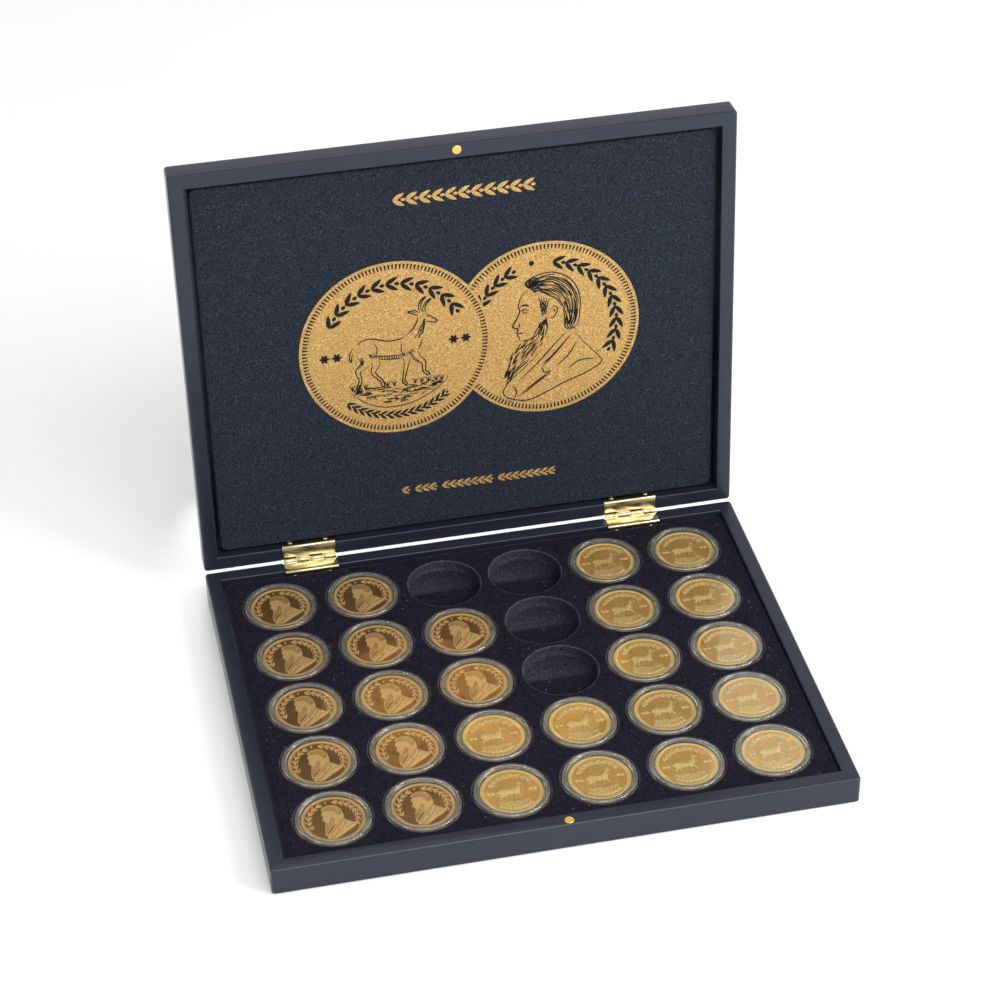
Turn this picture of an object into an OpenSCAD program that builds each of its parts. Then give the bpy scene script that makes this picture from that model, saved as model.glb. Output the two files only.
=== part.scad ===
// Hinged wooden presentation case with a flocked tray for encapsulated coins.
// Origin: centre of the underside. +X right, +Y back, +Z up. The lid stands open.

/* [Case] */
// Overall width, left to right
case_w = 305; // [303:1:330]
// Overall depth, front to back, with the lid shut
case_d = 245; // [243:1:270]
// Height of the base box
base_h = 16.1; // [16.1:0.1:18]
// Height of the lid
lid_h = 13.7; // [13.7:0.1:18]
// Thickness of the frame rails
rail_t = 8.2; // [8:0.1:9]
// Gap between the two rims when the lid is shut
rim_gap = 0.2; // [0.2:0.1:0.5]
// Radius of the four upright corners
corner_r = 2; // [0.5:0.5:4]
// Bevel along the outer long edges
edge_bevel = 0.8; // [0.4:0.1:1.5]
// Bevel along the inner rim edge
rim_bevel = 0.4; // [0.2:0.1:0.8]
// Angle at which the lid stands open, against its stops
open_angle = 94; // [0:1:94]

/* [Panels] */
// Thickness of the wooden base and lid panels
panel_t = 3.2; // [2.5:0.1:3.2]
// How far each panel reaches into the rails
panel_lap = 4; // [2:0.5:5]
// Thickness of the felt under the base
felt_t = 0.8; // [0.5:0.1:1]

/* [Lid liner] */
// Depth of the liner's face below the lid rim
liner_depth = 3.8; // [3:0.1:5]
// Thickness of the velour pad
liner_pad_t = 3.6; // [2:0.1:4]
// Gap at the left, right and front of the pad
liner_gap = 2.5; // [1.5:0.1:4]
// Gap between the pad and the hinge side
liner_rear_gap = 1.5; // [1.5:0.1:3]
// Corner radius of the pad
liner_r = 4; // [2:0.5:8]

/* [Tray insert] */
// Height of the insert's top face above the underside of the case
insert_top = 14; // [13.5:0.1:14.5]
// Thickness of the flocked plastic
insert_wall = 0.8; // [0.6:0.1:1]
// Gap at the left and right of the insert
insert_side_gap = 0.6; // [0.2:0.1:1.5]
// Gap behind the insert, clear of the hinges
insert_rear_gap = 1.7; // [1.6:0.1:3]
// Corner radius of the insert
insert_r = 4; // [2:0.5:8]
// Number of wells across
columns = 6; // [6:1:6]
// Number of wells front to back
rows = 5; // [5:1:5]
// Well spacing across
pitch_x = 46.16; // [45:0.01:47]
// Well spacing front to back
pitch_y = 43.8; // [42.5:0.1:44.2]
// Well radius
well_r = 20.3; // [20:0.1:20.5]
// Depth of the flat rear half of a well
well_depth = 5.2; // [5:0.1:5.4]
// Slope of the front half of a well, pressed to tip a capsule up
well_tilt = 6; // [2:0.5:8]

/* [Coins and capsules] */
// Outer radius of a capsule
capsule_r = 19.7; // [19.4:0.1:19.7]
// Thickness of a capsule
capsule_t = 5.9; // [5.6:0.1:6]
// Thickness of a capsule's clear windows
window_t = 1.5; // [1.2:0.1:1.5]
// Radius of a coin
coin_r = 16.4; // [16:0.1:16.4]
// Thickness of a coin
coin_t = 2.8; // [2.4:0.1:2.8]

/* [Hinges] */
// Distance of each hinge's middle from the middle of the case
hinge_x = 93; // [80:1:110]
// Length of a hinge
hinge_len = 30; // [26:1:36]
// Radius of the knuckles
knuckle_r = 1.5; // [1.3:0.1:1.6]
// Radius of the hinge pin
pin_r = 0.65; // [0.5:0.05:0.7]
// Thickness of the brass leaves
leaf_t = 0.9; // [0.7:0.05:1]
// Length of the wing that is screwed to the inner wall
wing_h = 9; // [8:0.5:9]
// Distance of the pin's axis behind the case's back face
axis_out = 0.38; // [0.3:0.02:0.5]

/* [Closing magnets] */
// Radius of a magnet's brass-plated disc
magnet_r = 2.6; // [2:0.1:3]
// Length of a magnet
magnet_l = 3; // [2:0.5:4]

/* [Hidden] */
// Wells with no capsule, as [row, column]; row 1 is at the hinges
EMPTY = [[1, 3], [1, 4], [2, 4], [3, 4]];
FILLED = [for (r = [1:rows], c = [1:columns]) if (!is_empty([r, c])) [r, c]];
function is_empty(w) = len([for (e = EMPTY) if (e == w) e]) > 0;
function capsule_name(w) = str("coin_capsule_r", w[0], "_c", w[1]);

SIDES = [["left", -1], ["right", 1]];

$fn = 64;
eps = 0.01;
lid_z = base_h + rim_gap;                    // lid rim, with the lid shut
axis_y = case_d / 2 + axis_out;              // hinge axis, parallel to X
axis_z = base_h + rim_gap / 2;
inner_w = case_w - 2 * rail_t;               // opening between the rails
inner_d = case_d - 2 * rail_t;
panel_w = inner_w + 2 * panel_lap;
panel_d = inner_d + 2 * panel_lap;
panel_z = felt_t;                            // underside of the base panel
floor_z = panel_z + panel_t;                 // top of the base panel
board_inset = 3;                             // liner board, inside the pad's outline
magnet_y = case_d / 2 - rail_t / 2 + 0.4;    // magnets, in front of the front rails' middle
magnet_edge = 0.3;                           // chamfer of a magnet's disc
magnet_fit = 0.03;                           // clearance around a magnet
notch_z = 1;                                 // depth of a hinge notch in a rim
notch_x = 0.5;                               // clearance at each end of a hinge
knuckle_gap = 0.2;                           // clearance around a knuckle
knuckle_end = 0.3;                           // clearance at each end of a knuckle
knuckle_l = hinge_len / 4;
pin_fit = 0.02;                              // pin in the base leaf's knuckles
pin_play = 0.05;                             // pin in the lid leaf's knuckles
screw_x = hinge_len / 2 - 5;                 // screws, from the hinge's middle
screw_z = 4.6;                               // screws, from the rim
screw_r = 0.9;
screw_l = 5.5;
screw_head_r = 1.7;
screw_head_t = 0.4;
screw_slot = [2, 0.4, 0.3];                  // length, width and depth of each arm of the cross
insert_w = inner_w - 2 * insert_side_gap;
insert_front = -inner_d / 2 + 0.1;           // the insert all but touches the front rail
insert_back = inner_d / 2 - insert_rear_gap;
well_floor = insert_top - well_depth;
grid_y = -1.4;                               // middle of the grid of wells
seat_gap = 0.05;                             // between a capsule and the floor of its well
capsule_z = well_floor + seat_gap;
capsule_edge = 0.4;                          // chamfer of a capsule's outer edges
shell_gap = 0.05;                            // between a capsule's two shells
shell_step = 0.1;                            // the upper shell is this much smaller in radius
coin_gap = 0.15;                             // around a coin in its capsule
coin_rim = 1.1;                              // width of a coin's raised rim
coin_rise = 0.2;                             // height of a coin's raised rim

wood = [0.23, 0.26, 0.32];
velour = [0.13, 0.17, 0.24];
flock = [0.13, 0.11, 0.18];
brass = [0.83, 0.66, 0.32];
gold = [0.85, 0.6, 0.28];
steel = [0.78, 0.78, 0.75];

// ---------- shared shapes ----------

module rounded_plate(w, y0, y1, r, h) {
    linear_extrude(h) union() {
        translate([-w / 2 + r, y0]) square([w - 2 * r, y1 - y0]);
        translate([-w / 2, y0 + r]) square([w, y1 - y0 - 2 * r]);
        for (x = [-w / 2 + r, w / 2 - r], y = [y0 + r, y1 - r]) translate([x, y]) circle(r);
    }
}

// Swings the shut lid up about the hinge axis to where it stands open
module opened() {
    translate([0, axis_y, axis_z]) rotate([-open_angle, 0, 0])
        translate([0, -axis_y, -axis_z]) children();
}

// Cross-section of a rail, from its outer face inwards, rim side up
function rail_section(h, rebate) = [
    [edge_bevel, 0], [rail_t - panel_lap, 0], [rail_t - panel_lap, rebate], [rail_t, rebate],
    [rail_t, h - rim_bevel], [rail_t - rim_bevel, h], [edge_bevel, h], [0, h - edge_bevel],
    [0, edge_bevel]];

// A mitred rail along X, with its outer face on the plane y = 0
module rail(len, h, rebate) {
    intersection() {
        translate([-len / 2, 0, 0]) rotate([90, 0, 90]) linear_extrude(len)
            polygon(rail_section(h, rebate));
        linear_extrude(h) polygon([[-len / 2, 0], [len / 2, 0],
            [len / 2 - rail_t, rail_t], [-len / 2 + rail_t, rail_t]]);
    }
}

// The four rails of a frame, as the front, back, left or right one, with rounded corners
module frame_rail(side, h, rebate) {
    turn = side == "front" ? 0 : side == "right" ? 90 : side == "back" ? 180 : 270;
    long = side == "front" || side == "back";
    intersection() {
        rotate([0, 0, turn]) translate([0, -(long ? case_d : case_w) / 2, 0])
            rail(long ? case_w : case_d, h, rebate);
        rounded_plate(case_w, -case_d / 2, case_d / 2, corner_r, h);
    }
}

module base_rail(side) color(wood) frame_rail(side, base_h, floor_z);

// The lid's rails are the same frame, turned rim down
module lid_rail(side) color(wood)
    translate([0, 0, lid_z + lid_h]) mirror([0, 0, 1]) frame_rail(side, lid_h, panel_t);

// ---------- hinges ----------

// One leaf, with the rim on the plane z = 0, reaching down into the rail
// first: 0 or 1, which knuckle from the left is the leaf's own
module hinge_leaf(first) {
    wing_y = inner_d / 2 - leaf_t;
    plate_end = axis_y - knuckle_r - knuckle_gap;
    rim_to_axis = rim_gap / 2;
    barrel = knuckle_l - 2 * knuckle_end;
    difference() {
        union() {
            translate([-hinge_len / 2, wing_y, -notch_z])
                cube([hinge_len, plate_end - wing_y, leaf_t]);
            translate([-hinge_len / 2, wing_y, -wing_h])
                cube([hinge_len, leaf_t, wing_h - notch_z + leaf_t]);
            for (k = [first, first + 2])
                translate([-hinge_len / 2 + k * knuckle_l + knuckle_end, 0, 0]) {
                    translate([0, wing_y, -notch_z])
                        cube([barrel, axis_y - knuckle_r / 2 - wing_y, leaf_t]);
                    translate([0, axis_y, rim_to_axis]) rotate([0, 90, 0])
                        cylinder(r = knuckle_r, h = barrel);
                }
        }
        translate([-hinge_len, axis_y, rim_to_axis]) rotate([0, 90, 0])
            cylinder(r = pin_r + (first == 0 ? pin_fit : pin_play), h = 2 * hinge_len);
        for (s = [-1, 1]) translate([s * screw_x, wing_y - 1, -screw_z]) rotate([-90, 0, 0])
            cylinder(r = screw_r + 0.1, h = leaf_t + 2);
    }
}

module base_leaf(s) color(brass) translate([s * hinge_x, 0, base_h]) hinge_leaf(0);
module lid_leaf(s) color(brass)
    opened() translate([s * hinge_x, 0, lid_z]) mirror([0, 0, 1]) hinge_leaf(1);
module hinge_pin(s) color(brass)
    translate([s * hinge_x - hinge_len / 2, axis_y, axis_z]) rotate([0, 90, 0])
        cylinder(r = pin_r, h = hinge_len);

// Room in the back rail for both hinges: leaf notches, knuckles and screws
module hinge_room() {
    w = hinge_len + 2 * notch_x;
    for (s = [-1, 1]) translate([s * hinge_x, 0, 0]) {
        translate([-w / 2, inner_d / 2 - 1, -notch_z]) cube([w, case_d, notch_z + 1]);
        translate([-w / 2, axis_y - knuckle_r - knuckle_gap, rim_gap / 2 - knuckle_r - knuckle_gap])
            cube([w, case_d, 5]);
        for (k = [-1, 1]) translate([k * screw_x, inner_d / 2 - 1, -screw_z]) rotate([-90, 0, 0])
            cylinder(r = screw_r + 0.02, h = screw_l + 1.02);
    }
}

// A small pan-head screw pointing along +Y, with a cross slot
module screw() {
    rotate([-90, 0, 0]) difference() {
        union() {
            cylinder(r = screw_r, h = screw_l);
            translate([0, 0, -leaf_t - screw_head_t])
                cylinder(r1 = screw_head_r - 0.3, r2 = screw_head_r, h = screw_head_t);
            translate([0, 0, -leaf_t - eps]) cylinder(r = screw_r, h = leaf_t + 2 * eps);
        }
        for (a = [0, 90]) rotate(a)
            translate([-screw_slot[0] / 2, -screw_slot[1] / 2, -leaf_t - screw_head_t - eps])
                cube([screw_slot[0], screw_slot[1], screw_slot[2] + eps]);
    }
}

module screws() for (s = [-1, 1], k = [-1, 1])
    translate([s * hinge_x + k * screw_x, inner_d / 2, -screw_z]) screw();

module base_hinge_screws() color(brass) translate([0, 0, base_h]) screws();
module lid_hinge_screws() color(brass)
    opened() translate([0, 0, lid_z]) mirror([0, 0, 1]) screws();

// ---------- magnets ----------

// A disc let into the front rim, which is the plane z = 0
module magnet() translate([0, -magnet_y, 0]) {
    translate([0, 0, -magnet_l]) cylinder(r = magnet_r, h = magnet_l - magnet_edge);
    translate([0, 0, -magnet_edge])
        cylinder(r1 = magnet_r, r2 = magnet_r - magnet_edge, h = magnet_edge);
}
module magnet_room() translate([0, -magnet_y, -magnet_l])
    cylinder(r = magnet_r + magnet_fit, h = magnet_l + 1);

module base_magnet() color(brass) translate([0, 0, base_h]) magnet();
module lid_magnet() color(brass)
    opened() translate([0, 0, lid_z]) mirror([0, 0, 1]) magnet();

// ---------- base ----------

module base_rail_front() difference() {
    base_rail("front");
    translate([0, 0, base_h]) magnet_room();
}
module base_rail_back() difference() {
    base_rail("back");
    translate([0, 0, base_h]) hinge_room();
}
module base_panel() color(wood)
    translate([-panel_w / 2, -panel_d / 2, panel_z]) cube([panel_w, panel_d, panel_t]);
module underside_felt() color(flock)
    translate([-panel_w / 2, -panel_d / 2, 0]) cube([panel_w, panel_d, felt_t]);

// ---------- tray insert ----------

function well_place(w) = [(w[1] - (columns + 1) / 2) * pitch_x,
                          grid_y + ((rows + 1) / 2 - w[0]) * pitch_y];

// A well's space: flat behind its middle, sloping down in front of it
module well_space(r, z) {
    drop = r * tan(well_tilt);
    translate([0, 0, z]) cylinder(r = r, h = insert_top + 1 - z);
    intersection() {
        translate([0, 0, z - drop]) cylinder(r = r, h = drop + eps);
        translate([0, 0, z]) rotate([well_tilt, 0, 0])
            translate([-2 * r, -2 * r, 0]) cube([4 * r, 2 * r, 2 * r]);
    }
}

module tray_insert() color(flock) {
    wells = [for (r = [1:rows], c = [1:columns]) well_place([r, c])];
    difference() {
        union() {
            difference() {
                translate([0, 0, floor_z])
                    rounded_plate(insert_w, insert_front, insert_back, insert_r, insert_top - floor_z);
                translate([0, 0, floor_z - 1])
                    rounded_plate(insert_w - 2 * insert_wall, insert_front + insert_wall,
                        insert_back - insert_wall, insert_r - insert_wall,
                        insert_top - floor_z + 1 - insert_wall);
            }
            intersection() {
                for (p = wells) translate(p) well_space(well_r + insert_wall, well_floor - insert_wall);
                translate([-case_w / 2, -case_d / 2, floor_z]) cube([case_w, case_d, insert_top - floor_z]);
            }
        }
        for (p = wells) translate(p) well_space(well_r, well_floor);
    }
}

// ---------- lid ----------

module lid_rail_front() opened() difference() {
    lid_rail("front");
    translate([0, 0, lid_z]) mirror([0, 0, 1]) magnet_room();
}
module lid_rail_back() opened() difference() {
    lid_rail("back");
    translate([0, 0, lid_z]) mirror([0, 0, 1]) hinge_room();
}
module lid_rail_left() opened() lid_rail("left");
module lid_rail_right() opened() lid_rail("right");
module lid_panel() color(wood) opened()
    translate([-panel_w / 2, -panel_d / 2, lid_z + lid_h - panel_t]) cube([panel_w, panel_d, panel_t]);

// Velour-covered pad, glued to a board that fills the rest of the lid
module liner_plate(inset, z, h) {
    translate([0, 0, lid_z + z])
        rounded_plate(inner_w - 2 * (liner_gap + inset), -inner_d / 2 + liner_gap + inset,
            inner_d / 2 - liner_rear_gap - inset, liner_r, h);
}
module lid_liner_pad() color(velour) opened() liner_plate(0, liner_depth, liner_pad_t);
module lid_liner_board() color(wood) opened()
    liner_plate(board_inset, liner_depth + liner_pad_t,
        lid_h - panel_t - liner_depth - liner_pad_t);

// ---------- coins in capsules ----------

// Lower shell, with an inner collar that the upper shell's skirt fits over
module capsule_lower() {
    seam_r = (capsule_r + coin_r) / 2;
    pocket_r = coin_r + coin_gap;
    collar_z = capsule_t - window_t - 0.4;
    rotate_extrude() polygon([[0, 0], [capsule_r - capsule_edge, 0], [capsule_r, capsule_edge],
        [capsule_r, capsule_t / 2], [seam_r, capsule_t / 2], [seam_r, collar_z],
        [pocket_r, collar_z], [pocket_r, window_t], [0, window_t]]);
}
module capsule_upper() {
    outer_r = capsule_r - shell_step;
    seam_r = (capsule_r + coin_r) / 2 + shell_gap;
    seam_z = capsule_t / 2 + shell_gap / 2;
    rotate_extrude() polygon([[0, capsule_t], [outer_r - capsule_edge, capsule_t],
        [outer_r, capsule_t - capsule_edge], [outer_r, seam_z], [seam_r, seam_z],
        [seam_r, capsule_t - window_t], [0, capsule_t - window_t]]);
}
// Coin with a raised rim on both faces
module coin() {
    field = coin_r - coin_rim - coin_rise;
    section = [[field, coin_t / 2 - coin_rise], [coin_r - coin_rim, coin_t / 2],
        [coin_r - coin_rise, coin_t / 2], [coin_r, coin_t / 2 - coin_rise]];
    rotate_extrude() polygon(concat([[0, coin_t / 2 - coin_rise]], section,
        [for (k = [3:-1:0]) [section[k][0], -section[k][1]]], [[0, coin_rise - coin_t / 2]]));
}
module coin_capsule(w) translate(well_place(w)) {
    color(steel) translate([0, 0, capsule_z]) capsule_lower();
    color(steel) translate([0, 0, capsule_z]) capsule_upper();
    color(gold) translate([0, 0, capsule_z + capsule_t / 2]) coin();
}

base_rail_front();
base_rail_back();
base_rail("left");  // base_rail_left
base_rail("right");  // base_rail_right
base_panel();
underside_felt();
tray_insert();
base_magnet();
lid_rail_front();
lid_rail_back();
lid_rail_left();
lid_rail_right();
lid_panel();
lid_liner_board();
lid_liner_pad();
lid_magnet();
base_hinge_screws();
lid_hinge_screws();
for (s = SIDES) {
    base_leaf(s[1]);
    lid_leaf(s[1]);
    hinge_pin(s[1]);
}
for (w = FILLED) coin_capsule(w);
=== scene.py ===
"""The looks of a hinged presentation case for encapsulated coins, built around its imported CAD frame.

Shapes are written in millimetres, in the part's own frame: origin at the centre of the underside, +X right,
+Y back, +Z up. Pieces of the lid are written for the shut lid, and then swung to where it stands open.
"""

import math

import bmesh
import bpy
import numpy as np
from mathutils import Matrix, Vector


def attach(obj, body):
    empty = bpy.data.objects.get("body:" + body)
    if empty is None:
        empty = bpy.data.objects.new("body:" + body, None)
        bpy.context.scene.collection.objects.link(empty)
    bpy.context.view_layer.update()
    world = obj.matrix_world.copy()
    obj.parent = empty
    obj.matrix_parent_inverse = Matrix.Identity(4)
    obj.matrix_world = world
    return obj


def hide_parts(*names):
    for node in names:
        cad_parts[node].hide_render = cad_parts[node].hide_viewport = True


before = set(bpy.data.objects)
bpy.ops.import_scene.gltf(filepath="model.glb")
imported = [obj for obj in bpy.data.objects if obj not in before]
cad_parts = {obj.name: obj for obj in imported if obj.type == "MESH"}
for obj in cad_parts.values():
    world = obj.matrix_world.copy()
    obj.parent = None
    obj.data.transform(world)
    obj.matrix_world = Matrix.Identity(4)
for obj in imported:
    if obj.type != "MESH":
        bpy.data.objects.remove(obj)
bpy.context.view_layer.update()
MM = 0.001

# ---------- sizes, the same as the CAD part's ----------
CASE_W, CASE_D, BASE_H, LID_H, SHUT_GAP = 305, 245, 16.1, 13.7, 0.2
RAIL_T, CORNER_R, EDGE_BEVEL, RIM_BEVEL = 8.2, 2, 0.8, 0.4
PANEL_T, PANEL_LAP, FELT_T = 3.2, 4, 0.8
OPEN_ANGLE = math.radians(94)
LID_Z, AXIS_RISE = BASE_H + SHUT_GAP, SHUT_GAP / 2
AXIS_Y, AXIS_Z = CASE_D / 2 + 0.38, BASE_H + AXIS_RISE
INNER_W, INNER_D = CASE_W - 2 * RAIL_T, CASE_D - 2 * RAIL_T
FLOOR_Z = FELT_T + PANEL_T
LINER_DEPTH, LINER_T, LINER_R = 3.8, 3.6, 4
LINER_X = INNER_W / 2 - 2.5
LINER_FRONT, LINER_BACK = -INNER_D / 2 + 2.5, INNER_D / 2 - 1.5
INSERT_TOP, INSERT_WALL, INSERT_R = 14, 0.8, 4
INSERT_X = INNER_W / 2 - 0.6
INSERT_FRONT, INSERT_BACK = -INNER_D / 2 + 0.1, INNER_D / 2 - 1.7
ROWS, COLUMNS, PITCH_X, PITCH_Y, GRID_Y = 5, 6, 46.16, 43.8, -1.4
WELL_R, WELL_DEPTH, WELL_TILT = 20.3, 5.2, math.radians(6)
CAPSULE_R, CAPSULE_T, WINDOW_T, CAPSULE_Z = 19.7, 5.9, 1.5, 8.85
COIN_R, COIN_T, FIELD_DEPTH = 16.4, 2.8, 0.45
HINGE_X, HINGE_LEN, KNUCKLE_R, KNUCKLE_END, PIN_R, LEAF_T, WING_H = 93, 30, 1.5, 0.3, 0.65, 0.9, 9
NOTCH_Z, NOTCH_W, KNUCKLE_ROOM = 1, HINGE_LEN + 1, 0.2
PLATE_END = AXIS_Y - KNUCKLE_R - KNUCKLE_ROOM
SCREW_X, SCREW_Z, SCREW_R = HINGE_LEN / 2 - 5, 4.6, 1.7
MAGNET_R, MAGNET_H, MAGNET_Y = 2.6, 3, CASE_D / 2 - RAIL_T / 2 + 0.4
CELLS = [(row, column) for row in range(1, ROWS + 1) for column in range(1, COLUMNS + 1)]
EMPTY = {(1, 3), (1, 4), (2, 4), (3, 4)}

# ---------- sizes of the looks alone ----------
PRINT_R, PRINT_LIFT, FOIL_T, INK_T = 53, 0.05, 0.04, 0.02
COIN_TEETH, COIN_AROUND, COIN_ART_R, ORNAMENT_RISE = 108, 432, 15.1, 0.36
QUARTER = np.radians([22.5, 45, 67.5, 90])


# ---------- places ----------

def move(x, y, z):
    return Matrix.Translation((x, y, z))


def turn(angle, axis):
    return Matrix.Rotation(angle, 4, axis)


FLIP = Matrix.Diagonal((1, 1, -1, 1))
SWING = move(0, AXIS_Y, AXIS_Z) @ turn(-OPEN_ANGLE, "X") @ move(0, -AXIS_Y, -AXIS_Z)
RIM_DOWN, RIM_UP = move(0, 0, LID_Z) @ FLIP, move(0, 0, BASE_H)


# ---------- mesh helpers ----------

def linked(name, data):
    """A new object in the scene."""
    obj = bpy.data.objects.new(name, data)
    bpy.context.scene.collection.objects.link(obj)
    return obj


def mesh_object(name, verts, faces, place=None, merge=True):
    """A mesh object from points in mm, moved by the matrix place, with its normals outwards."""
    place = place or Matrix.Identity(4)
    data = bpy.data.meshes.new(name)
    data.from_pydata([tuple(v) for v in np.asarray(verts, float)], [], [tuple(f) for f in faces])
    data.transform(Matrix.Scale(MM, 4) @ place)
    bm = bmesh.new()
    bm.from_mesh(data)
    if merge:
        bmesh.ops.remove_doubles(bm, verts=bm.verts, dist=1e-6)
        bmesh.ops.dissolve_degenerate(bm, edges=bm.edges, dist=1e-7)
    bmesh.ops.recalc_face_normals(bm, faces=bm.faces)
    bm.to_mesh(data)
    bm.free()
    return linked(name, data)


def shade(obj, angle=35):
    """Smooth shading, with edges sharper than angle kept crisp."""
    obj.data.shade_smooth()
    obj.data.set_sharp_from_angle(angle=math.radians(angle))


def settle(obj):
    """Applies the object's modifiers."""
    shown = obj.evaluated_get(bpy.context.evaluated_depsgraph_get())
    data = bpy.data.meshes.new_from_object(shown)
    obj.modifiers.clear()
    obj.data = data
    return obj


def combine(obj, others, operation="DIFFERENCE"):
    """Cuts the others from obj, or joins them to it as one solid."""
    for other in others:
        modifier = obj.modifiers.new("combine", "BOOLEAN")
        modifier.operation, modifier.object, modifier.solver = operation, other, "EXACT"
    settle(obj)
    for other in others:
        bpy.data.objects.remove(other)
    return obj


def soften(obj, width):
    """Rounds the object's hard edges."""
    modifier = obj.modifiers.new("soften", "BEVEL")
    modifier.width, modifier.segments = width * MM, 2
    modifier.limit_method, modifier.angle_limit = "ANGLE", math.radians(30)
    settle(obj)


def paint(data, material):
    data.materials.clear()
    data.materials.append(material)


def keep_values(obj, name, values):
    """Keeps a value at each of the mesh's points, for its material."""
    attribute = obj.data.attributes.new(name, "FLOAT", "POINT")
    attribute.data.foreach_set("value", np.array(values, np.float32))


def data_alone(obj, angle):
    """The shaded mesh without the object that carried it."""
    shade(obj, angle)
    data = obj.data
    bpy.data.objects.remove(obj)
    return data


def finish_piece(obj, body, material, replaces=None, sharp=35):
    """Gives a piece its material, shading and body, and hides the CAD node it replaces."""
    paint(obj.data, material)
    shade(obj, sharp)
    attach(obj, body)
    if replaces:
        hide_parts(replaces)


def fillet(corners, steps=4):
    """A closed outline from corners (x, y, radius), each rounded by its radius."""
    out = []
    pts = [np.array(c[:2], float) for c in corners]
    for i, (x, y, r) in enumerate(corners):
        p, a, b = pts[i], pts[i - 1], pts[(i + 1) % len(pts)]
        if r == 0:
            out.append(p)
            continue
        u, v = (a - p) / np.linalg.norm(a - p), (b - p) / np.linalg.norm(b - p)
        half = math.acos(np.clip(u @ v, -1, 1)) / 2
        centre = p + (u + v) / np.linalg.norm(u + v) * r / math.sin(half)
        start, end = p + u * r / math.tan(half) - centre, p + v * r / math.tan(half) - centre
        arc = math.pi - 2 * half
        for k in range(steps + 1):
            t = k / steps
            out.append(centre + (math.sin((1 - t) * arc) * start + math.sin(t * arc) * end) / math.sin(arc))
    return np.array(out)


def ring_faces(rings, n, first=0):
    """Quads between successive rings of n points."""
    return [(at + k, at + (k + 1) % n, at + n + (k + 1) % n, at + n + k)
            for at in range(first, first + (rings - 1) * n, n) for k in range(n)]


def capped(rings, n):
    """Quads between successive rings of n points, and a face over each end."""
    return ring_faces(rings, n) + [tuple(range(n)), tuple(range((rings - 1) * n, rings * n))]


def lathe(profile, n=96):
    """Verts and faces of a closed (radius, height) outline turned about Z."""
    a = np.arange(n) * 2 * math.pi / n
    verts = [(r * math.cos(t), r * math.sin(t), z) for r, z in profile for t in a]
    last = (len(profile) - 1) * n
    closing = [(last + k, last + (k + 1) % n, (k + 1) % n, k) for k in range(n)]
    return verts, ring_faces(len(profile), n) + closing


def extrude_x(outline, x0, x1):
    """Verts and faces of a (y, z) outline extruded along X."""
    n = len(outline)
    verts = [(x, y, z) for x in (x0, x1) for y, z in outline]
    return verts, ring_faces(2, n) + [tuple(range(n - 1, -1, -1)), tuple(range(n, 2 * n))]


def box(x0, x1, y0, y1, z0, z1):
    return extrude_x([(y0, z0), (y1, z0), (y1, z1), (y0, z1)], x0, x1)


def rod(radius, z0, z1, n=48):
    return lathe([(0, z0), (radius, z0), (radius, z1), (0, z1)], n)


def across(line):
    """Unit vectors to the left of a line, at each of its points."""
    step = np.gradient(line, axis=0)
    return np.stack([-step[:, 1], step[:, 0]], 1) / np.linalg.norm(step, axis=1)[:, None]


def curve(points, steps=8, closed=False):
    """A smooth line through the points, in any number of dimensions."""
    p = np.array(points, float)
    if closed:
        p = np.vstack([p[-1], p, p[:2]])
    else:
        p = np.vstack([2 * p[0] - p[1], p, 2 * p[-1] - p[-2]])
    t = (np.arange(steps) / steps)[:, None]
    out = [0.5 * (2 * b + (c - a) * t + (2 * a - 5 * b + 4 * c - d) * t ** 2
                  + (3 * b - a - 3 * c + d) * t ** 3)
           for a, b, c, d in zip(p[:-3], p[1:-2], p[2:-1], p[3:])]
    return np.vstack(out if closed else out + [p[-2][None]])


# ---------- materials ----------

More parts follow.
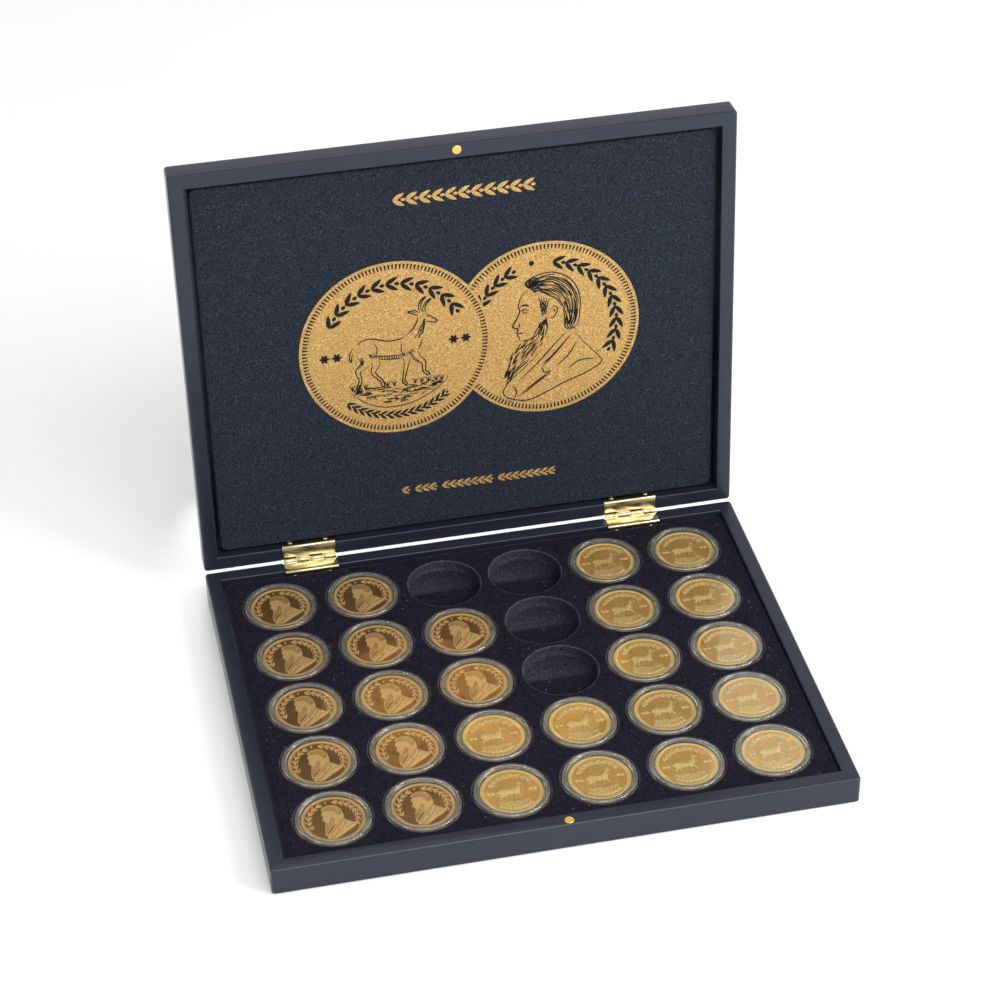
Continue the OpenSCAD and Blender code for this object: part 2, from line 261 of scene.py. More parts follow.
class Shader:
    """A material on the Principled shader, with short calls for its nodes."""

    def __init__(self, name, **inputs):
        self.material = bpy.data.materials.new(name)
        self.material.use_nodes = True
        self.tree = self.material.node_tree
        self.bsdf = self.tree.nodes["Principled BSDF"]
        for key, value in inputs.items():
            self.bsdf.inputs[key.replace("_", " ")].default_value = value
        self.coords = self.tree.nodes.new("ShaderNodeTexCoord").outputs["Object"]

    def node(self, kind, out=0, **inputs):
        node = self.tree.nodes.new("ShaderNode" + kind)
        for key, value in inputs.items():
            socket = node.inputs[key.replace("_", " ")]
            if isinstance(value, bpy.types.NodeSocket):
                self.tree.links.new(value, socket)
            else:
                socket.default_value = value
        return node.outputs[out]

    def attribute(self, name):
        """A value kept at the mesh's points."""
        node = self.tree.nodes.new("ShaderNodeAttribute")
        node.attribute_name = name
        return node.outputs["Fac"]

    def noise(self, scale, detail=3, roughness=0.6, stretch=None):
        where = self.node("Mapping", Vector=self.coords, Scale=stretch) if stretch else self.coords
        return self.node("TexNoise", "Fac", Vector=where, Scale=scale, Detail=detail, Roughness=roughness)

    def spread(self, value, low, high, to_low=0.0, to_high=1.0):
        return self.node("MapRange", Value=value, From_Min=low, From_Max=high, To_Min=to_low, To_Max=to_high)

    def ramp(self, value, *stops):
        """Colours (r, g, b) at positions, as (position, colour) pairs."""
        node = self.tree.nodes.new("ShaderNodeValToRGB")
        elements = node.color_ramp.elements
        while len(elements) < len(stops):
            elements.new(0.5)
        for element, (position, colour) in zip(elements, stops):
            element.position, element.color = position, (*colour, 1)
        self.tree.links.new(value, node.inputs[0])
        return node.outputs[0]

    def mix(self, factor, a, b):
        node = self.tree.nodes.new("ShaderNodeMix")
        node.data_type = "RGBA"
        for index, value in ((0, factor), (6, a), (7, b)):
            if isinstance(value, bpy.types.NodeSocket):
                self.tree.links.new(value, node.inputs[index])
            else:
                node.inputs[index].default_value = (*value, 1) if index else value
        return node.outputs[2]

    def product(self, a, b):
        node = self.tree.nodes.new("ShaderNodeMath")
        node.operation = "MULTIPLY"
        self.tree.links.new(a, node.inputs[0])
        self.tree.links.new(b, node.inputs[1])
        return node.outputs[0]

    def bump(self, *layers):
        """Bump from (height, strength, distance in mm) layers."""
        normal = None
        for height, strength, distance in layers:
            inputs = {"Height": height, "Strength": strength, "Distance": distance * MM}
            if normal is not None:
                inputs["Normal"] = normal
            normal = self.node("Bump", **inputs)
        self.tree.links.new(normal, self.bsdf.inputs["Normal"])

    def set(self, **links):
        for key, socket in links.items():
            self.tree.links.new(socket, self.bsdf.inputs[key.replace("_", " ")])
        return self.material


def rgb(r, g, b):
    """A linear colour from 0-255 screen values."""
    return tuple(((c / 255 + 0.055) / 1.055) ** 2.4 if c > 10 else c / 255 / 12.92 for c in (r, g, b))


def dimmed(colour, share):
    return tuple(share * c for c in colour)


def lacquer_material():
    s = Shader("lacquer", Specular_IOR_Level=0.5, Specular_Tint=(0.72, 0.86, 1, 1))
    grain = s.noise(60, 5, 0.65, stretch=(1, 9, 9))
    cloud = s.noise(14, 3)
    base = s.ramp(grain, (0.3, rgb(24, 27, 36)), (0.7, rgb(31, 35, 46)))
    base = s.mix(s.spread(cloud, 0.35, 0.65, 0, 0.35), base, rgb(36, 40, 51))
    s.bump((s.noise(420, 2), 0.06, 0.2), (grain, 0.05, 0.1))
    return s.set(Base_Color=base, Roughness=s.spread(cloud, 0.3, 0.7, 0.22, 0.3))


def velour_material(name, dark, middle, light, sheen):
    s = Shader(name, Sheen_Weight=sheen, Sheen_Roughness=0.4, Specular_IOR_Level=0.25,
               Sheen_Tint=(0.6, 0.68, 0.8, 1))
    pile, tuft = s.noise(2300, 2, 0.7, stretch=(1, 0.6, 0.6)), s.noise(800, 3, 0.6)
    base = s.ramp(pile, (0.38, dark), (0.52, middle), (0.68, light))
    base = s.mix(s.spread(tuft, 0.42, 0.62, 0, 0.4), base, dark)
    s.bump((pile, 0.6, 0.4), (tuft, 0.2, 0.3))
    return s.set(Base_Color=base, Roughness=s.spread(pile, 0.3, 0.7, 0.95, 0.8))


def flock_material():
    s = Shader("flock", Sheen_Weight=0.35, Sheen_Roughness=0.25, Specular_IOR_Level=0.1,
               Sheen_Tint=(0.75, 0.72, 0.9, 1))
    pile, patch = s.noise(1400, 2, 0.75), s.noise(90, 4)
    base = s.ramp(pile, (0.36, rgb(10, 9, 16)), (0.52, rgb(20, 18, 28)), (0.68, rgb(44, 41, 56)))
    base = s.mix(s.spread(patch, 0.4, 0.7, 0, 0.4), base, rgb(13, 12, 20))
    # Painted light and painted highlights: the pile is lightened by a value kept at the mesh's points.
    painted_light = s.attribute("painted_light")
    base = s.mix(painted_light, base, s.ramp(pile, (0.34, rgb(30, 28, 38)), (0.66, rgb(96, 92, 110))))
    lint = s.node("TexVoronoi", "Distance", Vector=s.coords, Scale=240, Randomness=1)
    speck = s.product(s.spread(lint, 0.12, 0.06), s.spread(s.noise(60, 1), 0.5, 0.56))
    base = s.mix(speck, base, rgb(92, 90, 104))
    s.bump((pile, 0.7, 0.25))
    return s.set(Base_Color=base, Roughness=s.spread(pile, 0.3, 0.7, 1.0, 0.85))


def felt_material(name, dark, light):
    s = Shader(name, Sheen_Weight=0.3, Specular_IOR_Level=0.2)
    fibre = s.noise(1100, 4, 0.7, stretch=(1, 1.6, 1))
    s.bump((fibre, 0.7, 0.4))
    return s.set(Base_Color=s.ramp(fibre, (0.3, dark), (0.7, light)),
                 Roughness=s.spread(fibre, 0.2, 0.8, 1, 0.9))


def foil_material():
    s = Shader("gold_print", Metallic=0.55, Specular_IOR_Level=0.4)
    grain, cloud = s.noise(1150, 4, 0.75), s.noise(70, 3)
    base = s.ramp(grain, (0.34, rgb(146, 106, 50)), (0.5, rgb(194, 154, 88)), (0.66, rgb(234, 206, 150)))
    base = s.mix(s.spread(cloud, 0.4, 0.7, 0, 0.25), base, rgb(188, 144, 77))
    s.bump((grain, 0.8, 0.35))
    return s.set(Base_Color=base, Roughness=s.spread(grain, 0.3, 0.7, 0.6, 0.42))


def brass_material():
    s = Shader("brass", Metallic=1)
    worn, scratch = s.noise(160, 4), s.noise(500, 2, 0.5, stretch=(0.15, 2, 2))
    base = s.ramp(worn, (0.3, rgb(208, 192, 146)), (0.7, rgb(234, 222, 184)))
    s.bump((scratch, 0.04, 0.03))
    return s.set(Base_Color=base, Roughness=s.spread(worn, 0.3, 0.7, 0.14, 0.24))


def plating_material():
    s = Shader("gold_plating", Metallic=0.75)
    worn = s.noise(900, 3)
    return s.set(Base_Color=s.ramp(worn, (0.3, rgb(214, 172, 78)), (0.7, rgb(240, 204, 116))),
                 Roughness=s.spread(worn, 0.3, 0.7, 0.32, 0.45))


def coin_material(name, field, relief, rough, metal, mottle):
    """Struck gold, with a frosty finish on the relief, less in its grooves as painted shade, and painted
    shade darkening the foot of the relief's sides.

    rough and metal are (field, relief) pairs.
    """
    s = Shader(name)
    frost_and_groove_shade = s.attribute("frost_and_groove_shade")
    painted_foot_shade = s.attribute("painted_foot_shade")
    grain, cloud = s.noise(2600, 3, 0.7), s.noise(130, 3)
    field_colour = s.mix(s.spread(cloud, 0.35, 0.7), field, dimmed(field, 0.9))
    spots = s.spread(s.noise(900, 2), 0.42, 0.62, 0, mottle)
    field_colour = s.mix(spots, field_colour, dimmed(field, 0.45))
    relief_colour = s.ramp(grain, (0.3, dimmed(relief, 0.85)), (0.7, relief))
    s.bump((s.product(frost_and_groove_shade, grain), 0.4, 0.04))
    # The relief's frosty colour is held back in its grooves as painted shade.
    colour = s.mix(frost_and_groove_shade, field_colour, relief_colour)
    # Painted shade: the colour is darkened towards a third of the field's at the foot of the relief's sides.
    return s.set(Base_Color=s.mix(painted_foot_shade, colour, dimmed(field, 0.3)),
                 Roughness=s.spread(frost_and_groove_shade, 0, 1, *rough), Metallic=s.spread(frost_and_groove_shade, 0, 1, *metal))


def acrylic_material(name, dark, light, transmission, rough):
    s = Shader(name, Transmission_Weight=transmission, IOR=1.49)
    haze = s.noise(220, 3)
    return s.set(Base_Color=s.ramp(haze, (0.3, dark), (0.7, light)),
                 Roughness=s.spread(haze, 0.3, 0.8, *rough))


LACQUER, FLOCK, FOIL, BRASS = lacquer_material(), flock_material(), foil_material(), brass_material()
PLATING = plating_material()
VELOUR = velour_material("velour", rgb(9, 14, 22), rgb(20, 28, 39), rgb(62, 74, 92), 0.1)
INK = velour_material("print_gaps", rgb(10, 14, 19), rgb(18, 23, 28), rgb(34, 40, 46), 0.05)
FELT = felt_material("underside_felt", rgb(18, 16, 26), rgb(40, 36, 54))
BOARD = felt_material("liner_board", rgb(34, 35, 38), rgb(58, 59, 62))
WINDOW = acrylic_material("clear_acrylic", (0.97, 0.97, 0.95), (0.99, 0.99, 0.97), 1, (0, 0.02))
SHELL = acrylic_material("moulded_acrylic", (0.89, 0.87, 0.72), (0.98, 0.97, 0.89), 0.945, (0.0, 0.02))
PROOF = coin_material("proof_gold", rgb(164, 122, 70), rgb(252, 208, 138), (0.24, 0.42), (0.55, 0.32), 0.12)
SATIN = coin_material("satin_gold", rgb(248, 196, 112), rgb(255, 228, 156), (0.28, 0.4), (0.44, 0.26), 0.35)


# ---------- stage ----------

def stage():
    """The floor, the studio lights, and a camera at the photograph's angle."""
    camera = linked("camera", bpy.data.cameras.new("camera"))
    camera.data.sensor_width, camera.data.lens = 36, 103.9
    camera.data.clip_start, camera.data.clip_end = 0.05, 20
    camera.location = (-0.24993, -1.15912, 1.01013)
    camera.rotation_euler = [math.radians(a) for a in (53.425, 0.635, -12.23)]
    bpy.context.scene.camera = camera
    far = 6000
    corners = [(-far, -far, 0), (far, -far, 0), (far, far, 0), (-far, far, 0)]
    plane = mesh_object("floor", corners, [(0, 1, 2, 3)])
    paper = Shader("paper", Roughness=0.9, Specular_IOR_Level=0.2)
    tone = paper.ramp(paper.noise(3, 2), (0.3, (0.88, 0.88, 0.88)), (0.7, (0.91, 0.91, 0.91)))
    paint(plane.data, paper.set(Base_Color=tone))
    case_middle = (0, 0, 0.05)
    lights = [("key", (1.15, -0.75, 0.95), 0.8, 20, case_middle),
              ("fill", (0.2, -1.25, 1.45), 0.9, 9, case_middle),
              ("side", (-1.15, -0.75, 0.85), 0.45, 4, case_middle),
              ("top", (-0.2, 0.7, 2.0), 2, 6, (-0.1, 0.5, 0)),
              ("gap", (0, 0.24, 0.03), 0.3, 0.1, (0, 0.14, 0))]  # lights the floor seen between base and lid
    for name, at, size, energy, target in lights:
        light = linked(name, bpy.data.lights.new(name, "AREA"))
        light.data.size, light.data.energy = size, energy
        if name == "gap":
            light.data.shape, light.data.size_y, light.data.spread = "RECTANGLE", 0.02, math.radians(50)
        light.location = at
        light.rotation_euler = (Vector(at) - Vector(target)).to_track_quat("Z", "Y").to_euler()
    world = bpy.data.worlds.new("studio")
    world.use_nodes = True
    sky = world.node_tree.nodes["Background"].inputs
    sky["Color"].default_value, sky["Strength"].default_value = (1, 1, 1, 1), 0.72
    bpy.context.scene.world = world
    bpy.context.scene.view_settings.view_transform = "Standard"


# ---------- case ----------

SIDES = {"front": 0, "right": 1, "back": 2, "left": 3}


def rail_profile(height, rebate):
    """The rail's cross-section as (distance in from the outer face, height), rim side up."""
    lap = RAIL_T - PANEL_LAP
    return fillet([(EDGE_BEVEL, 0, 0.5), (lap, 0, 0), (lap, rebate, 0), (RAIL_T, rebate, 0),
                   (RAIL_T, height - RIM_BEVEL, 0.3), (RAIL_T - RIM_BEVEL, height, 0.3),
                   (EDGE_BEVEL, height, 0.7), (0, height - EDGE_BEVEL, 0.7), (0, EDGE_BEVEL, 0.5)])


def rail(name, side, height, rebate, place):
    """One mitred rail, whose ends are half of a rounded upright corner."""
    length, depth = (CASE_W, CASE_D) if side in ("front", "back") else (CASE_D, CASE_W)
    profile = rail_profile(height, rebate)
    arc = [math.radians(45 * k / 6) for k in range(7)]
    stations = [(-1, a) for a in reversed(arc)] + [(1, a) for a in arc]
    verts = []
    for end, a in stations:
        for t, z in profile:
            middle, r = max(CORNER_R, t), max(CORNER_R - t, 0)
            x = end * (length / 2 - middle + r * math.sin(a))
            verts.append((x, -depth / 2 + middle - r * math.cos(a), z))
    place = place @ turn(math.pi / 2 * SIDES[side], "Z")
    return mesh_object(name, verts, capped(len(stations), len(profile)), place)


def magnet_room(rim):
    """A cutter for the front rail's magnet, from the rim on the plane z = 0."""
    place = rim @ move(0, -MAGNET_Y, 0)
    return mesh_object("cut", *rod(MAGNET_R + 0.12, -MAGNET_H, 1), place)


def hinge_rooms(rim):
    """Cutters for the leaf notches, knuckles and screws, from the rim on the plane z = 0."""
    w = NOTCH_W / 2
    rooms = (box(-w, w, INNER_D / 2 - 1, CASE_D, -NOTCH_Z, 2),
             box(-w, w, PLATE_END, CASE_D, AXIS_RISE - KNUCKLE_R - KNUCKLE_ROOM, 3))
    places = [rim @ move(side * HINGE_X, 0, 0) for side in (-1, 1)]
    return [mesh_object("cut", *room, place) for place in places for room in rooms]


def case_frame(body, height, rebate, place, rim):
    """The four rails of the base or the lid."""
    for side in SIDES:
        node = f"{body}_rail_{side}"
        obj = rail(node + "_wood", side, height, rebate, place)
        if side == "front":
            combine(obj, [magnet_room(rim)])
        if side == "back":
            combine(obj, hinge_rooms(rim))
        finish_piece(obj, body, LACQUER, node)


def case():
    case_frame("base", BASE_H, FLOOR_Z, Matrix.Identity(4), RIM_UP)
    shut = SWING @ move(0, 0, LID_Z + LID_H) @ FLIP
    case_frame("lid", LID_H, PANEL_T, shut, SWING @ RIM_DOWN)
    for node, material in (("base_panel", LACQUER), ("lid_panel", LACQUER), ("underside_felt", FELT),
                           ("lid_liner_board", BOARD)):
        paint(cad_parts[node].data, material)


# ---------- tray insert ----------

def well_centre(row, column):
    return (column - (COLUMNS + 1) / 2) * PITCH_X, GRID_Y + ((ROWS + 1) / 2 - row) * PITCH_Y


def well_floor(x, y):
    """Height of a well's floor: level behind its middle, and sloping down in front of it."""
    fold = 0.5
    return INSERT_TOP - WELL_DEPTH - math.tan(WELL_TILT) * fold * np.logaddexp(0, -np.asarray(y) / fold)


def insert_edge(x, y, inset):
    """Moves a point in one of the insert's corner squares onto its rounded outline."""
    cx, front, back = INSERT_X - INSERT_R, INSERT_FRONT + INSERT_R, INSERT_BACK - INSERT_R
    centre = np.array([math.copysign(cx, x), front if y < 0 else back])
    away = np.array([x, y]) - centre
    if abs(x) > cx and (y < front or y > back) and max(abs(away)) > INSERT_R - inset - 1e-6:
        away = away / np.linalg.norm(away)
        return centre + away * (INSERT_R - inset), away
    if abs(x) > INSERT_X - inset - 1e-6:
        return np.array([x, y]), np.array([math.copysign(1, x), 0])
    return np.array([x, y]), np.array([0, math.copysign(1, y)])


def cell_border(row, column, inset, steps):
    """Points round a cell, four sides of steps each, counter-clockwise from its front right corner."""
    x, y = well_centre(row, column)
    x0 = -INSERT_X + inset if column == 1 else x - PITCH_X / 2
    x1 = INSERT_X - inset if column == COLUMNS else x + PITCH_X / 2
    y0 = INSERT_FRONT + inset if row == ROWS else y - PITCH_Y / 2
    y1 = INSERT_BACK - inset if row == 1 else y + PITCH_Y / 2
    corners = [(x1, y0), (x1, y1), (x0, y1), (x0, y0), (x1, y0)]
    return [(ax + (bx - ax) * k / steps, ay + (by - ay) * k / steps)
            for (ax, ay), (bx, by) in zip(corners, corners[1:]) for k in range(steps)]


def painted_light(x, y, z):
    """Painted light on the flock, most as a painted highlight on a well's lip, then on its back-left wall,
    the back half of its floor and the insert's outer edge.
    """
    column = np.clip(np.round(x / PITCH_X + (COLUMNS + 1) / 2), 1, COLUMNS)
    row = np.clip(np.round((ROWS + 1) / 2 - (y - GRID_Y) / PITCH_Y), 1, ROWS)
    cx, cy = well_centre(row, column)
    u, v = x - cx, y - cy
    r, back_left = np.hypot(u, v), np.cos(np.arctan2(v, u) - math.radians(120))
    floor = (0.5 + 0.5 * np.tanh(v / 0.8)) * (0.27 - 0.012 * u) * np.clip(1.25 - v / 20, 0, 1)
    wall = 0.45 * np.clip(0.35 + 0.65 * back_left, 0, 1)
    value = np.where(r < WELL_R - 1.3, floor, wall)
    lip = (r > WELL_R + 0.05) & (r < WELL_R + 0.6)
    outer = np.where(z < INSERT_TOP - 0.02, 0.4, 0)
    return np.where(r > WELL_R + 0.65, outer, np.where(lip, 0.75, value))


def tray_insert():
    """The flocked sheet; lip, foot and edge round a well's mouth, its floor's border and the outer edge."""
    steps, lip, foot, edge = 16, 0.7, 1.2, 0.8
    n = 4 * steps
    angles = -math.pi / 4 + np.arange(n) * 2 * math.pi / n
    verts, faces = [], []
    # Rings of a well: (radius, height, True for a height over its floor, False for one below the top).
    rings = [(WELL_R + lip + 0.4, 0, False), (WELL_R + lip, 0, False)]
    rings += [(WELL_R + lip - lip * math.sin(a), lip * (1 - math.cos(a)), False) for a in QUARTER]
    rings += [(WELL_R, foot, True)]
    rings += [(WELL_R - foot * (1 - math.cos(a)), foot * (1 - math.sin(a)), True) for a in QUARTER]
    rings += [(r, 0, True) for r in (17.5, 14.5, 11, 7.5, 4, 1.2)]
    for row, column in CELLS:
        cx, cy = well_centre(row, column)
        first = len(verts)
        border = [insert_edge(*p, edge)[0] for p in cell_border(row, column, edge, steps)]
        verts += [(x, y, INSERT_TOP) for x, y in border]
        for r, h, over_floor in rings:
            x, y = r * np.cos(angles), r * np.sin(angles)
            z = well_floor(x, y) + h if over_floor else np.full(n, INSERT_TOP - h)
            verts += list(zip(cx + x, cy + y, z))
        faces += ring_faces(len(rings) + 1, n, first)
        faces.append(tuple(range(len(verts) - n, len(verts))))
    outline = []
    along, up = range(1, COLUMNS + 1), range(1, ROWS + 1)
    for row, column, side in ([(ROWS, c, 3) for c in along] + [(r, COLUMNS, 0) for r in reversed(up)]
                              + [(1, c, 1) for c in reversed(along)] + [(r, 1, 2) for r in up]):
        outline += cell_border(row, column, edge, steps)[side * steps:(side + 1) * steps]
    first = len(verts)
    skirt = [(0, 0)] + [(edge * math.sin(a), edge * (1 - math.cos(a))) for a in QUARTER]
    skirt += [(edge, INSERT_TOP - FLOOR_Z - 3), (edge, INSERT_TOP - FLOOR_Z)]
    for out, down in reversed(skirt):
        for p in outline:
            at, away = insert_edge(*p, edge)
            verts.append((*(at + away * out), INSERT_TOP - down))
    faces += ring_faces(len(skirt), len(outline), first)
    obj = mesh_object("tray_insert_flocked", verts, faces)
    if obj.data.polygons[0].normal.z < 0:
        obj.data.flip_normals()
    at = np.array([v.co for v in obj.data.vertices]) / MM
    # The flock's painted light and highlights, kept at the mesh's points.
    keep_values(obj, "painted_light", painted_light(*at.T))
    wall = obj.modifiers.new("wall", "SOLIDIFY")
    wall.thickness, wall.offset = INSERT_WALL * MM, -1
    finish_piece(settle(obj), "base", FLOCK, "tray_insert", 60)


# ---------- lid liner ----------

def liner_ring(inset, steps=40, arc=8):
    """Points round the liner's outline, drawn in by inset."""
    r = max(LINER_R - inset, 0.02)
    x, y0, y1 = LINER_X - inset - r, LINER_FRONT + inset + r, LINER_BACK - inset - r
    corners = []
    for centre, start in (((x, y1), 0), ((-x, y1), 90), ((-x, y0), 180), ((x, y0), 270)):
        a = np.radians(start + np.arange(arc + 1) * 90 / arc)
        corners.append(centre + r * np.stack([np.cos(a), np.sin(a)], 1))
    out = []
    for here, there in zip(corners, corners[1:] + corners[:1]):
        out += [*here, *(here[-1] + (there[0] - here[-1]) * k / steps for k in range(1, steps))]
    return np.array(out)


def lid_liner():
    """The velour pad, as rings of (inset, depth) under its slightly uneven face, with a rolled edge."""
    edge = 1.3
    top = [(0, LINER_T), (0, edge)] + [(edge * (1 - math.cos(a)), edge * (1 - math.sin(a))) for a in QUARTER]
    middle = (LINER_BACK - LINER_FRONT) / 2 - 0.5
    top += [(inset, 0) for inset in (2.5, 5, 10, 18, 28, 40, 54, 68, 84, 100, middle)]
    rng = np.random.default_rng(4)
    waves = [(rng.uniform(0.01, 0.05, 2), rng.uniform(0, 6.28)) for _ in range(6)]
    verts = []
    for inset, depth in top:
        ring = liner_ring(inset)
        z = LID_Z + LINER_DEPTH + depth + np.zeros(len(ring))
        if depth == 0:
            for k, phase in waves:
                z = z + 0.05 * (1 + np.sin(ring @ k + phase)) / 2
        verts += list(zip(ring[:, 0], ring[:, 1], z))
    pad = mesh_object("lid_liner_velour", verts, capped(len(top), len(ring)), SWING)
    finish_piece(pad, "lid", VELOUR, "lid_liner_pad", 60)


# ---------- brass fittings ----------

def hinge_leaf(node, body, side, first, rim):
    """A leaf on the plane z = 0 of its rim, owning knuckles first and first + 2 from the left."""
    wing_y, top, bend = INNER_D / 2 - LEAF_T, -NOTCH_Z + LEAF_T, 1.3
    place = rim @ move(side * HINGE_X, 0, 0)
    section = fillet([(wing_y, top, bend), (PLATE_END, top, 0.12), (PLATE_END, -NOTCH_Z, 0.12),
                      (wing_y + LEAF_T, -NOTCH_Z, 0.4), (wing_y + LEAF_T, -WING_H, 0.15),
                      (wing_y, -WING_H, 0.3)])
    half, span = HINGE_LEN / 2, HINGE_LEN / 4
    leaf = mesh_object(node + "_brass", *extrude_x(section, -half, half), place)
    wrap = np.radians(np.linspace(-155, 170, 28))
    curl = [(AXIS_Y + r * math.sin(a), AXIS_RISE + r * math.cos(a))
            for r, angles in ((KNUCKLE_R, wrap), (PIN_R, wrap[::-1])) for a in angles]
    curls, slots = [], []
    for k in (first, first + 2):
        x0, x1 = -half + k * span + KNUCKLE_END, -half + (k + 1) * span - KNUCKLE_END
        curls.append(mesh_object("curl", *extrude_x(curl, x0, x1), place))
        tongue = box(x0, x1, PLATE_END - 1, AXIS_Y - PIN_R - 0.35, -NOTCH_Z, top)
        curls.append(mesh_object("tongue", *tongue, place))
    combine(leaf, curls, "UNION")
    for k in (1 - first, 3 - first):
        x0 = -half + k * span
        slot = box(x0, x0 + span, PLATE_END - 0.6, PLATE_END + 1, -NOTCH_Z - 1, 3)
        slots.append(mesh_object("slot", *slot, place))
    for s in (-1, 1):
        hole = move(s * SCREW_X, wing_y - 1, -SCREW_Z) @ turn(-math.pi / 2, "X")
        slots.append(mesh_object("hole", *rod(1, 0, LEAF_T + 2, 32), place @ hole))
    combine(leaf, slots)
    soften(leaf, 0.1)
    finish_piece(leaf, body, BRASS, node, 40)


def screw_set(node, body, rim):
    """The four cross-slot screws of one side of the hinges."""
    shank, end = 0.9, 5.5
    screw = fillet([(0, -LEAF_T - 0.55, 0), (0.9, -LEAF_T - 0.5, 0.5), (SCREW_R, -LEAF_T - 0.12, 0.15),
                    (SCREW_R, -LEAF_T, 0), (shank, -LEAF_T, 0), (shank, end - 0.6, 0), (0.2, end, 0),
                    (0, end, 0)], 3)
    made = []
    for s in (-1, 1):
        for k in (-1, 1):
            place = (rim @ move(s * HINGE_X + k * SCREW_X, INNER_D / 2, -SCREW_Z)
                     @ turn(-math.pi / 2, "X") @ turn(0.4 + s + 2 * k, "Z"))
            one = mesh_object(node + "_brass", *lathe(screw, 32), place)
            cross = [mesh_object("cut", *box(-u, u, -v, v, -LEAF_T - 1, -LEAF_T - 0.22), place)
                     for u, v in ((1.1, 0.17), (0.17, 1.1))]
            made.append(combine(one, cross))
    bm = bmesh.new()
    for one in made:
        bm.from_mesh(one.data)
    bm.to_mesh(made[0].data)
    bm.free()
    for one in made[1:]:
        bpy.data.objects.remove(one)
    finish_piece(made[0], body, BRASS, node, 40)


def fittings():
    profile = fillet([(0, -MAGNET_H, 0), (MAGNET_R, -MAGNET_H, 0), (MAGNET_R, -0.25, 0.1),
                      (MAGNET_R - 0.35, 0, 0.2), (MAGNET_R - 0.7, 0, 0), (0, 0, 0)], 3)
    for body, rim, first in (("base", RIM_UP, 0), ("lid", SWING @ RIM_DOWN, 1)):
        for side_name, side in (("left", -1), ("right", 1)):
            hinge_leaf(f"{side_name}_hinge_{body}_leaf", body, side, first, rim)
        screw_set(f"{body}_hinge_screws", body, rim)
        place = rim @ move(0, -MAGNET_Y, 0)
        disc = mesh_object(f"{body}_magnet_disc", *lathe(profile, 64), place)
        finish_piece(disc, body, PLATING, f"{body}_magnet", 25)
    for side_name in ("left", "right"):
        paint(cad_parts[f"{side_name}_hinge_pin"].data, BRASS)


# ---------- drawn and struck art ----------
# Art is drawn in a unit disc, x right and y up. Limbs are lines of (x, y, radius), shapes are closed
# outlines, and strokes are (line, width, kind).

ANTELOPE = {
    "torso": [(-0.36, 0.01, 0.078), (-0.28, 0.03, 0.115), (-0.1, -0.01, 0.106), (0.06, -0.01, 0.11),
              (0.16, 0.03, 0.106), (0.21, 0.08, 0.083)],
    "neck": [(0.17, 0.06, 0.092), (0.235, 0.16, 0.06), (0.275, 0.26, 0.044), (0.295, 0.315, 0.046)],
    "head": [(0.295, 0.325, 0.048), (0.345, 0.305, 0.039), (0.4, 0.275, 0.024), (0.425, 0.265, 0.019)],
    "near_fore": [(0.17, -0.03, 0.064), (0.22, -0.14, 0.037), (0.285, -0.205, 0.023), (0.29, -0.305, 0.014),
                  (0.33, -0.35, 0.017)],
    "far_fore": [(0.12, -0.05, 0.055), (0.11, -0.18, 0.028), (0.09, -0.29, 0.016), (0.07, -0.4, 0.013),
                 (0.09, -0.43, 0.016)],
    "near_hind": [(-0.32, -0.03, 0.092), (-0.32, -0.14, 0.05), (-0.4, -0.225, 0.025), (-0.38, -0.33, 0.015),
                  (-0.41, -0.42, 0.013), (-0.39, -0.44, 0.017)],
    "far_hind": [(-0.26, -0.05, 0.078), (-0.21, -0.15, 0.042), (-0.24, -0.26, 0.021), (-0.165, -0.36, 0.014),
                 (-0.145, -0.42, 0.017)],
    "tail": [(-0.425, 0.05, 0.019), (-0.465, -0.02, 0.015), (-0.47, -0.09, 0.009)],
    "ear": [(0.265, 0.35, 0.012), (0.215, 0.385, 0.021), (0.155, 0.4, 0.006)],
    "horn": [(0.295, 0.36, 0.015), (0.27, 0.43, 0.013), (0.285, 0.5, 0.01), (0.33, 0.55, 0.005)],
    "far_horn": [(0.32, 0.35, 0.013), (0.315, 0.42, 0.011), (0.34, 0.48, 0.009), (0.385, 0.52, 0.005)],
}
MOUND = [(-0.5, -0.42), (-0.2, -0.46), (0.15, -0.43), (0.52, -0.4), (0.42, -0.53), (0.2, -0.65), (0.0, -0.69),
         (-0.2, -0.67), (-0.38, -0.57)]

FACE = [(-0.17, 0.47), (-0.24, 0.405), (-0.268, 0.335), (-0.278, 0.28), (-0.262, 0.235), (-0.288, 0.165),
        (-0.325, 0.095), (-0.343, 0.062), (-0.33, 0.04), (-0.295, 0.03), (-0.288, 0.002), (-0.303, -0.02),
        (-0.284, -0.035), (-0.297, -0.055), (-0.272, -0.085), (-0.286, -0.13)]
HEAD = FACE + [(-0.24, -0.2), (-0.1, -0.24), (0.1, -0.3), (0.3, -0.12), (0.33, 0), (0.37, 0.14),
               (0.37, 0.34), (0.28, 0.53), (0.1, 0.635), (-0.08, 0.62), (-0.19, 0.55)]
HAIR = [(-0.18, 0.47), (-0.21, 0.54), (-0.08, 0.62), (0.1, 0.635), (0.28, 0.53), (0.37, 0.34), (0.37, 0.14),
        (0.34, -0.01), (0.22, -0.04), (0.2, 0.06), (0.16, 0.24), (0.08, 0.27), (0.03, 0.14), (0, 0.22),
        (-0.04, 0.36), (-0.11, 0.43)]
BEARD = [(0.02, 0.14), (0.04, 0.02), (0, -0.16), (-0.14, -0.32), (-0.3, -0.47), (-0.46, -0.64),
         (-0.45, -0.48), (-0.39, -0.3), (-0.33, -0.17), (-0.285, -0.11), (-0.2, -0.12), (-0.1, -0.06),
         (-0.04, 0.06)]
COAT = [(0.3, -0.1), (0.42, -0.24), (0.57, -0.42), (0.59, -0.5), (0.42, -0.6), (0.2, -0.68), (0, -0.77),
        (-0.2, -0.84), (-0.38, -0.8), (-0.46, -0.72), (-0.4, -0.6), (-0.2, -0.42), (0, -0.22), (0.14, -0.1)]


